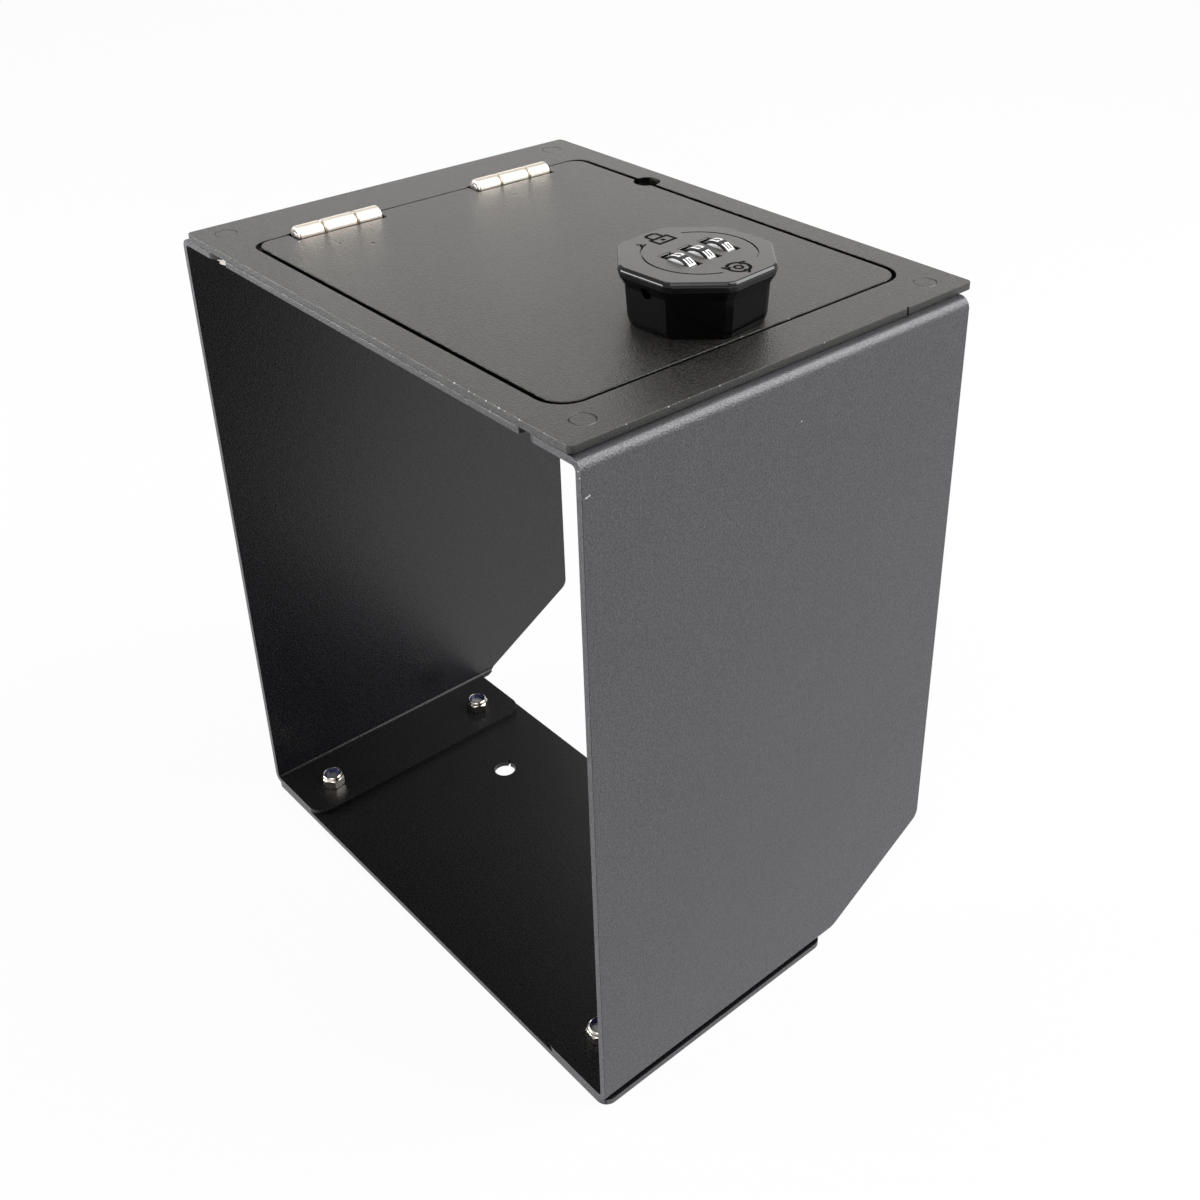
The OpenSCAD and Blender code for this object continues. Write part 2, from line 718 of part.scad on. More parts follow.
module lock_washer() {
    at_lock() color(nickel) difference() {
        drill(0, 0, lock_washer_r, washer_z, -plate_t);
        drill(0, 0, lock_barrel_r + hole_gap, washer_z - overrun, -plate_t + overrun);
    }
}

module lock_nut() {
    at_lock() color(nickel) difference() {
        translate([0, 0, lock_nut_z]) cylinder(d = lock_nut_flats / cos(30), h = lock_nut_h, $fn = 6);
        drill(0, 0, lock_barrel_r + run_gap, lock_nut_z - overrun, washer_z + overrun);
    }
}

// The cranked cam, drawn pointing to the front: hub and arm, a riser, and the raised tip
module cam() {
    at_knob() color(zinc) rotate(-90) difference() {
        union() {
            drill(0, 0, cam_w / 2, cam_z, cam_z + cam_t);
            translate([0, -cam_w / 2, cam_z]) cube([cam_riser_r + cam_t, cam_w, cam_t]);
            translate([cam_riser_r, -cam_w / 2, cam_z]) cube([cam_t, cam_w, cam_tip_top - cam_z]);
            translate([cam_riser_r, -cam_w / 2, cam_tip_top - cam_t]) cube([cam_reach - cam_riser_r, cam_w, cam_t]);
        }
        translate([0, 0, cam_z]) linear_extrude(2 * (cam_t + overrun), center = true)
            square(spindle_square + 2 * run_gap, center = true);
    }
}

module cam_washer() {
    at_knob() color(nickel) difference() {
        drill(0, 0, cam_washer_r, cam_screw_z, cam_z);
        drill(0, 0, cam_screw_r + hole_gap, cam_screw_z - overrun, cam_z + overrun);
    }
}

module cam_screw() {
    at_knob() color(nickel) {
        translate([0, 0, cam_screw_z - cam_screw_head_h])
            cylinder(d = cam_screw_flats / cos(30), h = cam_screw_head_h, $fn = 6);
        drill(0, 0, cam_screw_r, cam_screw_z, cam_screw_z + cam_screw_l);
    }
}

top_frame();
lid();
left_panel();
right_panel();
base_plate();
front_ledge();
rear_ledge();
at_hinge(0) frame_leaf();  // front_hinge_frame_leaf
at_hinge(0) lid_leaf();  // front_hinge_lid_leaf
at_hinge(0) hinge_pin();  // front_hinge_pin
at_hinge(1) frame_leaf();  // rear_hinge_frame_leaf
at_hinge(1) lid_leaf();  // rear_hinge_lid_leaf
at_hinge(1) hinge_pin();  // rear_hinge_pin
top_studs();
under_top_flanges() stud_nut();  // top_nuts
under_top_flanges() nut_ring();  // top_nut_rings
base_studs();
on_bottom_flanges() stud_nut();  // base_nuts
on_bottom_flanges() nut_ring();  // base_nut_rings
knob_body();
knob_cap();
dial(0);  // front_dial
dial(1);  // middle_dial
dial(2);  // rear_dial
dial_axle();
detent_springs();
drive_plate();
drive_screws();
lock_barrel();
lock_gasket();
lock_washer();
lock_nut();
cam();
cam_washer();
cam_screw();
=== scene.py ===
"""Looks of an open sheet steel console safe with a flush hinged lid and an octagonal combination knob."""
from math import cos, hypot, pi, radians, sin

import bmesh
import bpy
from mathutils import Matrix, Vector


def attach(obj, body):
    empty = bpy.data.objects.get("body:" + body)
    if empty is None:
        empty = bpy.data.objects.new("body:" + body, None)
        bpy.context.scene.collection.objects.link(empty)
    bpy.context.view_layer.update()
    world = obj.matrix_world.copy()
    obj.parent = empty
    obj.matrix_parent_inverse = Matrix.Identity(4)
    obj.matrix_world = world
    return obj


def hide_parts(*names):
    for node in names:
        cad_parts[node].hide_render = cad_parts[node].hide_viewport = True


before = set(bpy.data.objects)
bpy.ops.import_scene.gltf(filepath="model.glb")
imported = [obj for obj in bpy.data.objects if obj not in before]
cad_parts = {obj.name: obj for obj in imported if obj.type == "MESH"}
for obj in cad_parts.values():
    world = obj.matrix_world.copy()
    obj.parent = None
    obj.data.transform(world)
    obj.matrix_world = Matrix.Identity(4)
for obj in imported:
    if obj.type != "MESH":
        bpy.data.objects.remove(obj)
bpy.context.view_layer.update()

# Top plate
# The flat frame round the lid, laser cut from 2.5 mm steel with slots for the hinge barrels.
# Its cut edges are eased, then it gets the fine textured black powder coat that all the sheets have. The
# walls of the narrow openings round the lid are painted near black, as painted shade in the seam.
mm = 0.001
fleck_grey, bare_steel = (0.16, 0.155, 0.15, 1), (0.45, 0.44, 0.43, 1)


class Wire:
    """One output of a node. Sums written with it add the Math nodes that they need."""

    def __init__(self, paint, socket):
        self.paint, self.socket = paint, socket

    def math(self, operation, *values):
        return self.paint.add("ShaderNodeMath", {"operation": operation}, dict(enumerate(values)))

    def __add__(self, other):
        return self.math("ADD", self, other)

    def __sub__(self, other):
        return self.math("SUBTRACT", self, other)

    def __mul__(self, other):
        return self.math("MULTIPLY", self, other)

    def __gt__(self, other):
        return self.math("GREATER_THAN", self, other)

    def __lt__(self, other):
        return self.math("LESS_THAN", self, other)

    def __abs__(self):
        return self.math("ABSOLUTE", self)

    __radd__ = __add__


class Paint:
    """A finish: one Principled surface whose plain values are given by name."""

    def __init__(self, name, **values):
        self.material = bpy.data.materials.new(name)
        self.material.use_nodes = True
        self.tree = self.material.node_tree
        self.surface = self.tree.nodes["Principled BSDF"]
        for label, value in values.items():
            self.surface.inputs[label.replace("_", " ")].default_value = value

    def add(self, kind, settings=None, sockets=None, output=0):
        node = self.tree.nodes.new(kind)
        for label, value in (settings or {}).items():
            setattr(node, label, value)
        for label, value in (sockets or {}).items():
            self.join(value, node.inputs[label])
        return Wire(self, node.outputs[output])

    def join(self, value, socket):
        if isinstance(value, Wire):
            self.tree.links.new(value.socket, socket)
        else:
            socket.default_value = value

    def feed(self, **values):
        for label, value in values.items():
            self.join(value, self.surface.inputs[label.replace("_", " ")])

    def place(self):
        return self.add("ShaderNodeTexCoord", output="Object")

    def noise(self, scale, detail=2.0, roughness=0.5):
        return self.add("ShaderNodeTexNoise", {}, {
            "Vector": self.place(), "Scale": scale, "Detail": detail, "Roughness": roughness})

    def mix(self, factor, a, b):
        return self.add("ShaderNodeMix", {"data_type": "RGBA"}, {0: factor, 6: a, 7: b}, 2)

    def bump(self, height, depth, strength=1.0):
        return self.add("ShaderNodeBump", {}, {"Height": height, "Distance": depth, "Strength": strength})

    def away_from(self, spot):
        return self.add("ShaderNodeVectorMath", {"operation": "DISTANCE"},
                        {0: self.place(), 1: [v * mm for v in spot]}, "Value")


def toned(colour, factor):
    return tuple(c * factor for c in colour[:3]) + (1,)


def coated(name, colour, worn, roughness=0.34, dents=(), chips=(), gloss=1.68, grain_depth=0.2):
    """Fine textured powder coat: grain, faint clouds and edges rubbed to the worn colour, with bare flecks.

    A dent is (place, ring radius, width, depth), a pit where the radius is 0, and a chip is (place, radius).
    """
    paint = Paint(name, IOR=gloss)
    grain = paint.noise(1900, 2.0, 0.6)
    speckle = paint.noise(1800, 1.0) * 5 - 2
    cloud = paint.noise(22, 2.0)
    edge = paint.add("ShaderNodeAttribute", {"attribute_name": "edge"}, {}, "Fac")
    rub = edge * (paint.noise(260, 3.0, 0.7) * 1.2 - 0.15)
    flecks = edge * (paint.noise(800, 1.0) > 0.73)
    shade = paint.mix(cloud * 0.3 + speckle * 0.7, toned(colour, 0.1), toned(colour, 2.2))
    shade = paint.mix(rub, shade, toned(worn, 1))
    shade = paint.mix(flecks, shade, fleck_grey)
    height = grain
    for place, ring, width, depth in dents:
        near = paint.add("ShaderNodeMapRange", {"interpolation_type": "SMOOTHSTEP"},
                         {0: abs(paint.away_from(place) - ring * mm), 1: 0.0, 2: width * mm, 3: 1.0, 4: 0.0})
        height = height - near * depth
    for place, radius in chips:
        shade = paint.mix(paint.away_from(place) < radius * mm, shade, bare_steel)
    paint.feed(Base_Color=shade, Roughness=roughness - 0.1 + grain * 0.2,
               Normal=paint.bump(height, grain_depth * mm))
    return paint.material


def middle_of(edge):
    return (edge.verts[0].co + edge.verts[1].co) / (2 * mm)


def rounded(shape, edges, size, steps):
    """Rounds these edges of a shape by size mm and gives the faces that this makes."""
    return bmesh.ops.bevel(shape, geom=edges, offset=size * mm, offset_type="OFFSET", affect="EDGES",
                           segments=steps, profile=0.5, material=-1, clamp_overlap=True)["faces"]


def eased(node, ease, sharp=25, steps=2, keep=lambda middle: False, rounding=None):
    """A copy of a CAD node, its triangles merged into whole faces and its sharp edges rounded by ease mm.

    Edges that keep picks stay sharp. A rounding is a test and a size in mm for edges that are rounded more.
    """
    shape = bmesh.new()
    shape.from_mesh(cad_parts[node].data)
    bmesh.ops.remove_doubles(shape, verts=shape.verts, dist=0.001 * mm)
    bmesh.ops.dissolve_limit(shape, angle_limit=radians(0.4), verts=shape.verts, edges=shape.edges)
    if rounding:
        picked, size = rounding
        rounded(shape, [e for e in shape.edges if picked(middle_of(e))], size, 6)
    rims = [e for e in shape.edges if len(e.link_faces) == 2 and e.calc_face_angle() > radians(sharp)
            and not keep(middle_of(e))]
    edge = shape.faces.layers.float.new("edge")
    for face in rounded(shape, rims, ease, steps):
        face[edge] = 1.0
    return shape


def fixed(shape, name, body, slot, finishes, *nodes, smooth=38):
    """Makes a piece of the finished shape, which rides on a body and stands for these CAD nodes."""
    mesh = bpy.data.meshes.new(name)
    for face in shape.faces:
        face.smooth = True
    for edge in shape.edges:
        edge.smooth = len(edge.link_faces) == 2 and edge.calc_face_angle() < radians(smooth)
    shape.to_mesh(mesh)
    shape.free()
    piece = bpy.data.objects.new(name, mesh)
    bpy.context.scene.collection.objects.link(piece)
    for finish in finishes:
        mesh.materials.append(finish)
    flat = piece.modifiers.new("flat_faces", "WEIGHTED_NORMAL")
    flat.keep_sharp = True
    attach(piece, body)
    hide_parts(*nodes)


top_black = (0.011, 0.0101, 0.009)
rubbed_grey = (0.07, 0.068, 0.067)
stud_x, stud_y, stud_reach, stud_head = 91, 66.5, 5, 1.3
top_z, front_rim, right_rim, chip_z = 237, -77.9, 99.9, 236.8
opening_x, opening_y, opening_rub = 96, 72, 0.15
top_stud_spots = [(-90.5, -68.8), (-stud_x, stud_y), (stud_x, -stud_y), (stud_x, stud_y)]


def by_top_stud(middle):
    """The rims of the stud holes stay sharp, because the pressed heads fill them."""
    return any(hypot(middle.x - x, middle.y - y) < stud_reach for x, y in top_stud_spots)


def is_wall(face):
    """Whether a face of a flat sheet is part of its cut edge."""
    return abs(face.normal.z) < 0.3


edge_chips = [((x, front_rim, chip_z), r) for x, r in (
    (52, 0.3), (58.5, 0.22), (61, 0.18), (66, 0.25), (71.5, 0.3), (74, 0.2), (80, 0.22), (90, 0.18))]
edge_chips += [((right_rim, y, chip_z), r) for y, r in ((-60, 0.2), (-46, 0.22), (-28, 0.18), (12, 0.2))]
stud_rings = [((x, y, top_z), 3.5, 0.35, 1.2) for x, y in top_stud_spots]
top_coat = coated("top_powder_coat", top_black, rubbed_grey, dents=stud_rings, chips=edge_chips)
# Painted shade: a near black coat for the walls of the seams and the ledge tops seen through them, and a
# painted dark reflection on the panels' front edges.
painted_seam_shade = coated("seam_shade_paint", (0.003, 0.003, 0.003), (0.004, 0.004, 0.004), gloss=1.2,
                   grain_depth=0.05)
shape = eased("top_frame", 0.35, keep=by_top_stud)
edge = shape.faces.layers.float["edge"]
for face in shape.faces:
    middle = face.calc_center_median() / mm
    if abs(middle.x) < opening_x and abs(middle.y) < opening_y:
        face[edge] *= opening_rub
        face.material_index = 1 if is_wall(face) else 0
fixed(shape, "top_plate", "shell", "top_coat", [top_coat, painted_seam_shade], "top_frame")

# Top studs
# Flush head press studs, seated in the plate before it is coated, so that their heads carry its
# coat and only a hairline shows round each. Their M5 threads are zinc plated and point down.
zinc_plate = (0.62, 0.62, 0.6, 1)


def plated(name, colour, roughness, pitch=0.0, relief=0.5):
    """Plated steel: a faint cloudy sheen, fine scratches, and a thread's ridges for a pitch in mm."""
    paint = Paint(name, Metallic=1.0)
    cloud = paint.noise(90, 3.0)
    scratch = paint.noise(1400, 2.0, 0.6)
    tone = paint.mix(cloud, toned(colour, 0.86), colour)
    height = scratch * 0.25
    if pitch:
        ridge = paint.add("ShaderNodeTexWave", {"bands_direction": "Z", "wave_profile": "TRI"},
                          {"Vector": paint.place(), "Scale": pi / (10 * pitch * mm)})
        height = height + ridge * 12
    paint.feed(Base_Color=tone, Roughness=roughness - 0.05 + cloud * 0.1 + scratch * 0.05,
               Normal=paint.bump(height, 0.02 * mm, relief))
    return paint.material


stud_thread = plated("stud_thread", zinc_plate, 0.35, pitch=0.8)
shape = eased("top_studs", 0.12)
for face in shape.faces:
    face.material_index = 0 if face.calc_center_median().z > (top_z - stud_head) * mm else 1
fixed(shape, "top_stud_set", "shell", "stud_metal", [top_coat, stud_thread], "top_studs")

# Lid
# The plate cut out of the frame, 2.5 mm steel with half of the finger notch and the knob's double
# flatted hole. The hinge leaves are spot welded under it, which leaves faint dents beside the hinges.
weld_dents = [((-57.5, -46.3, top_z), 0, 0.9, 3), ((-50.3, -38.4, top_z), 0, 1.1, 3.5),
              ((-58.1, 24.5, top_z), 0, 1.0, 2.2), ((-66.4, -26.2, top_z), 3.4, 0.5, 0.6),
              ((-61, -49.5, top_z), 3.2, 0.5, 0.35), ((-64, 41, top_z), 3.4, 0.5, 0.35)]
lid_coat = coated("lid_powder_coat", top_black, (0.03, 0.03, 0.029), dents=weld_dents)
shape = eased("lid", 0.35)
# The lid's cut walls get the near black painted seam shade.
for face in shape.faces:
    face.material_index = 1 if is_wall(face) else 0
fixed(shape, "lid_plate", "lid", "lid_coat", [lid_coat, painted_seam_shade], "lid")

# Side panels
# Two 2.2 mm sheets, folded at the top and the bottom, with a slanted lower rear corner. Their outer
# faces are painted a little lighter and bluer than the top plate, for the cooler light on the sides. The
# inner faces are painted darker and duller as shade inside the open frame, and the bottom flanges and the
# base plate darker still. Their cut front edges are painted near black, a painted dark reflection.
# A lighter, bluer copy of the black coat, painted for the cooler light on the sides.
panel_lit_black = (0.018, 0.018, 0.0245)
panel_chips = [((104, -76.7, 224), 0.3), ((104, -76.2, 224.1), 0.25), ((104, -75.6, 224.3), 0.3),
               ((104, -0.3, 218.2), 0.25), ((102.9, -77.8, 231.5), 0.3), ((103.5, -77.9, 229.8), 0.25)]
panel_coat = coated("panel_powder_coat_lit", panel_lit_black, (0.05, 0.05, 0.055), 0.4, chips=panel_chips,
                    gloss=1.78)
# Painted shade: darker, duller copies of the coat for the inner faces, and darker still for the bottom
# flanges, the base plate and the base stud heads.
inner_shade_coat = coated("inner_powder_coat_shaded", (0.0065, 0.0065, 0.0085), (0.015, 0.015, 0.017), gloss=1.53,
                    grain_depth=0.08)
base_coat = coated("base_powder_coat_shaded", (0.0042, 0.0042, 0.0048), (0.02, 0.02, 0.023), gloss=1.38,
                   grain_depth=0.08)
slant_y, slant_z, slant_r = 72, 30.5, 2.5
front_y, top_fold_z, outer_x, bottom_flange_z = -77, 229, 102.5, 12


def slant_corner(middle):
    """Picks the corner of the back edge and the slanted edge, which is rounded."""
    return abs(middle.y - slant_y) < 0.1 and abs(middle.z - slant_z) < 0.1


for side, inward in (("left", 1), ("right", -1)):
    shape = eased(side + "_panel", 0.35, rounding=(slant_corner, slant_r))
    edge = shape.faces.layers.float["edge"]
    for face in shape.faces:
        middle = face.calc_center_median() / mm
        # Front edge bevels get the painted dark reflection, inner faces and flanges the painted shade.
        if face[edge] > 0.5 and middle.y < front_y and middle.z < top_fold_z:
            face.material_index = 3
        elif abs(middle.x) < outer_x and (face.normal.x * inward > 0.2 or face.normal.z > 0.5):
            face.material_index = 2 if middle.z < bottom_flange_z else 1
    fixed(shape, side + "_side", "shell", "panel_coat", [panel_coat, inner_shade_coat, base_coat, painted_seam_shade],
          side + "_panel")

# Base plate
# A 2.2 mm sheet with round corners and two bolt-down holes, under the bottom flanges. It is painted
# darker as shade inside the frame, and only its outer rim gets the panels' lighter coat. The laser left a
# small nick where it ran into the left hole.
hole_x, hole_y, rim_x, rim_back = -46, -6, 103, 22.5


def cut_to(shape, other, operation):
    """What is left of a shape after a boolean with another one."""
    parts = []
    for source in (shape, other):
        mesh = bpy.data.meshes.new("blank")
        source.to_mesh(mesh)
        source.free()
        parts.append(bpy.data.objects.new("blank", mesh))
        bpy.context.scene.collection.objects.link(parts[-1])
    tool = parts[0].modifiers.new("cut", "BOOLEAN")
    tool.operation, tool.object, tool.solver = operation, parts[1], "EXACT"
    bpy.context.view_layer.update()
    result = bmesh.new()
    result.from_mesh(parts[0].evaluated_get(bpy.context.evaluated_depsgraph_get()).to_mesh())
    for part in parts:
        bpy.data.objects.remove(part)
    return result


nick = bmesh.new()
bmesh.ops.create_cube(nick, size=1)
bmesh.ops.transform(nick, verts=nick.verts, matrix=Matrix.Translation((hole_x * mm, hole_y * mm, 0))
                    @ Matrix.Rotation(radians(119), 4, "Z") @ Matrix.Translation((4.5 * mm, 0, 0))
                    @ Matrix.Diagonal((2.4 * mm, 1.1 * mm, 10 * mm, 1)))
shape = cut_to(eased("base_plate", 0.35), nick, "DIFFERENCE")
# The inside gets the painted shade and the outer rim the panels' lighter coat.
for face in shape.faces:
    middle = face.calc_center_median() / mm
    rim = abs(face.normal.z) < 0.9 and (abs(middle.x) > rim_x or middle.y < front_y or middle.y > rim_back)
    face.material_index = 1 if rim else 0
fixed(shape, "base_sheet", "shell", "base_coat", [base_coat, panel_coat], "base_plate")

# Ledges
# Two steel strips spot welded under the front and rear edges of the top plate, on which the lid closes.
# Their tops, which show through the seam round the lid, are painted near black as shade in the seam.
ledge_coat = coated("ledge_powder_coat", (0.016, 0.016, 0.018), (0.05, 0.05, 0.052))
for side in ("front", "rear"):
    shape = eased(side + "_ledge", 0.3)
    for face in shape.faces:
        face.material_index = 1 if face.normal.z > 0.5 else 0
    fixed(shape, side + "_strip", "shell", "ledge_coat", [ledge_coat, painted_seam_shade], side + "_ledge")

# Hinges
# Two bright nickel plated butt hinges with rolled barrels of three knuckles, half sunk in the slots,
# with drawn steel pins set back in the end knuckles. Their leaves are spot welded below the sheets.
barrel_r, pin_bore, hinge_x, half_barrel, half_knuckle = 3.3, 1.65, -72.9, 15.6, 6.0
half_slot, leaf_low, leaf_high = half_knuckle + 0.35, -4.0, -2.51
frame_leaf_x, frame_slot_x, lid_step_x, lid_leaf_x = -6.6, -3.65, 3.8, 16
end_rounding = [(0.6, 0), (0.25, 0.12), (0.07, 0.32), (0, 0.62)]


def turned(profile, steps=64):
    """A turned shape: a closed profile of (radius, height) points in mm, spun about the Z axis."""
    shape = bmesh.new()
    corners = [shape.verts.new((r * mm, 0, z * mm)) for r, z in profile]
    for one, other in zip(corners, corners[1:] + corners[:1]):
        shape.edges.new((one, other))
    bmesh.ops.spin(shape, geom=shape.verts[:] + shape.edges[:], cent=(0, 0, 0), axis=(0, 0, 1),
                   angle=2 * pi, steps=steps, use_merge=True)
    bmesh.ops.remove_doubles(shape, verts=shape.verts, dist=0.0005 * mm)
    bmesh.ops.recalc_face_normals(shape, faces=shape.faces)
    return shape


def knuckle(low, high):
    """One rolled knuckle with rounded ends, bored for the pin, along the Y axis."""
    shape = turned([(pin_bore, low + 0.35), (pin_bore + 0.3, low)]
                   + [(barrel_r - inward, low + along) for inward, along in end_rounding]
                   + [(barrel_r - inward, high - along) for inward, along in reversed(end_rounding)]
                   + [(pin_bore + 0.3, high), (pin_bore, high - 0.35)], 72)
    bmesh.ops.transform(shape, matrix=Matrix.Rotation(-pi / 2, 4, "X"), verts=shape.verts)
    return shape


def sheet(outline, low, high, ease):
    """A flat piece with this outline of (x, y) points in mm between two heights, its edges eased."""
    shape = bmesh.new()
    face = shape.faces.new([shape.verts.new((x * mm, y * mm, low * mm)) for x, y in outline])
    grown = bmesh.ops.extrude_face_region(shape, geom=[face])["geom"]
    bmesh.ops.translate(shape, vec=(0, 0, (high - low) * mm),
                        verts=[v for v in grown if isinstance(v, bmesh.types.BMVert)])
    bmesh.ops.recalc_face_normals(shape, faces=shape.faces)
    rounded(shape, shape.edges[:], ease, 2)
    return shape


def joined(*shapes):
    """One shape that holds all of these."""
    result = bmesh.new()
    for shape in shapes:
        mesh = bpy.data.meshes.new("part")
        shape.to_mesh(mesh)
        shape.free()
        result.from_mesh(mesh)
        bpy.data.meshes.remove(mesh)
    return result


nickel = plated("bright_nickel", (0.95, 0.87, 0.76, 1), 0.28, relief=0.1)
pin_steel = plated("drawn_pin_steel", (0.42, 0.41, 0.4, 1), 0.3)
frame_outline = [(frame_leaf_x, -half_barrel), (0, -half_barrel), (0, -half_slot), (frame_slot_x, -half_slot),
                 (frame_slot_x, half_slot), (0, half_slot), (0, half_barrel), (frame_leaf_x, half_barrel)]
lid_outline = [(0, -half_knuckle), (lid_step_x, -half_knuckle), (lid_step_x, -half_barrel),
               (lid_leaf_x, -half_barrel), (lid_leaf_x, half_barrel), (lid_step_x, half_barrel),
               (lid_step_x, half_knuckle), (0, half_knuckle)]
for side, hinge_y in (("front", -37.7), ("rear", 33.6)):
    for leaf, body, outline, spans in (
            ("frame_leaf", "shell", frame_outline, [(-half_barrel, -half_slot), (half_slot, half_barrel)]),
            ("lid_leaf", "lid", lid_outline, [(-half_knuckle, half_knuckle)])):
        shape = joined(sheet(outline, leaf_low, leaf_high, 0.2), *[knuckle(*span) for span in spans])
        bmesh.ops.translate(shape, vec=(hinge_x * mm, hinge_y * mm, top_z * mm), verts=shape.verts)
        fixed(shape, f"{side}_{leaf}", body, "hinge_metal", [nickel], f"{side}_hinge_{leaf}")
    pin = f"{side}_hinge_pin"
    fixed(eased(pin, 0.3), f"{side}_pin", "shell", "pin_metal", [pin_steel], pin)

# Lock nuts
# Eight nickel plated M5 nuts with chamfered hexagons and a round collar that is rolled in over a
# dark blue nylon ring, on the studs of the base and of the top plate.
nut_flats, nut_bore, hexagon_h, collar_r, rolled_r, collar_top = 8.0, 2.55, 3.6, 3.85, 3.3, 5.1
base_seat_z, top_seat_z, ring_bore, ring_r, ring_top = 4.4, 232.3, 2.35, 3.25, 4.3
base_nut_places = [(x, y, base_seat_z, turn) for x, y, turn in (
    (-83.8, -63.4, 12), (-83.8, 7.6, 40), (83.8, -63.4, 25), (83.8, 7.6, 8))]
top_nut_places = [(*spot, top_seat_z, turn) for spot, turn in zip(top_stud_spots, (5, 33, 48, 20))]


def repeated(shape, places):
    """Copies of a shape at (x, y, z, turn) places in mm and degrees, upside down under the top plate."""
    pattern = bpy.data.meshes.new("pattern")
    shape.to_mesh(pattern)
    shape.free()
    result = bmesh.new()
    for x, y, z, turn in places:
        start = len(result.verts)
        result.from_mesh(pattern)
        result.verts.ensure_lookup_table()
        place = Matrix.Translation((x * mm, y * mm, z * mm)) @ Matrix.Rotation(radians(turn), 4, "Z")
        if z > top_z / 2:
            place = place @ Matrix.Rotation(pi, 4, "X")
        bmesh.ops.transform(result, matrix=place, verts=result.verts[start:])
    return result


def nut_shape():
    """A chamfered blank with its collar rolled in at the top, cut to a hexagon."""
    corner = nut_flats / 2 / cos(radians(30))
    blank = turned([(nut_bore, 0.4), (nut_bore + 0.4, 0), (nut_flats / 2 - 0.15, 0), (corner + 0.3, 0.65),
                    (corner + 0.3, hexagon_h - 0.55), (nut_flats / 2 - 0.05, hexagon_h),
                    (collar_r, hexagon_h + 0.15), (collar_r, collar_top - 0.55), (3.7, collar_top - 0.2),
                    (3.4, collar_top), (3.15, collar_top - 0.1), (3.1, collar_top - 0.5),
                    (rolled_r, ring_top), (rolled_r, hexagon_h), (nut_bore, hexagon_h)])
    hexagon = bmesh.new()
    bmesh.ops.create_cone(hexagon, cap_ends=True, segments=6, radius1=corner * mm, radius2=corner * mm,
                          depth=12 * mm)
    return cut_to(blank, hexagon, "INTERSECT")


nut_plate = plated("nut_nickel", (0.82, 0.77, 0.69, 1), 0.16)
nylon = Paint("blue_nylon", Roughness=0.38)
nylon.feed(Base_Color=nylon.mix(nylon.noise(600), (0.006, 0.009, 0.045, 1), (0.012, 0.018, 0.085, 1)),
           Normal=nylon.bump(nylon.noise(900), 0.02 * mm, 0.4))
for level, spots in (("base", base_nut_places), ("top", top_nut_places)):
    fixed(repeated(nut_shape(), spots), level + "_lock_nuts", "shell", "nut_metal", [nut_plate],
          level + "_nuts")
    ring = turned([(ring_bore, hexagon_h + 0.05), (ring_r, hexagon_h + 0.05), (ring_r, ring_top),
                   (3.05, ring_top + 0.25), (2.75, ring_top + 0.4), (2.45, ring_top + 0.25),
                   (ring_bore, ring_top)])
    fixed(repeated(ring, spots), level + "_nylon_rings", "shell", "nylon", [nylon.material],
          level + "_nut_rings")

# Base studs
# The same flush studs, pressed into the base plate from below before it is coated. Their heads lie
# level with its underside and their threads carry the lock nuts.
shape = eased("base_studs", 0.12)
for face in shape.faces:
    face.material_index = 0 if face.calc_center_median().z < stud_head * mm else 1
fixed(shape, "base_stud_set", "shell", "stud_metal", [base_coat, stud_thread], "base_studs")

# Knob body
# An octagonal zinc casting with a slightly drafted side, a rounded foot and a shoulder under the cap,
# lacquered glossy black. The round hole in its front face gives access to the dials' axle.


def lacquered(name, gloss):
    """Smooth black lacquer on the casting, a little uneven."""
    paint = Paint(name, IOR=gloss)
    tone = paint.mix(paint.noise(120), (0.0012, 0.0012, 0.0014, 1), (0.0025, 0.0025, 0.0028, 1))
    paint.feed(Base_Color=tone, Roughness=paint.noise(300, 3.0) * 0.06 + 0.17,
               Normal=paint.bump(paint.noise(350), 0.05 * mm, 0.12))
    return paint.material


body_lacquer = lacquered("black_lacquer", 1.2)
fixed(eased("knob_body", 0.35, sharp=14, steps=3), "knob_casting", "knob", "knob_body", [body_lacquer],
      "knob_body", smooth=50)

# Knob cap
# A cap with three windows for the dials. Its top face is satin grey with two curved grooves, and its
# bevelled rim glossy black. The closed lock and the turning sign beside the dials are printed in black.
knob_x, knob_turn, knob_top, row_y = 61, 4.5, 18, 1.2
groove_top, groove_in, groove_out = 17.6, 15.5, 17.7
ink_top, ink_t, sign_x, sign_y = 0.03, 0.025, 15.5, 0.2
to_knob = Matrix.Translation((knob_x * mm, 0, top_z * mm)) @ Matrix.Rotation(radians(knob_turn), 4, "Z")


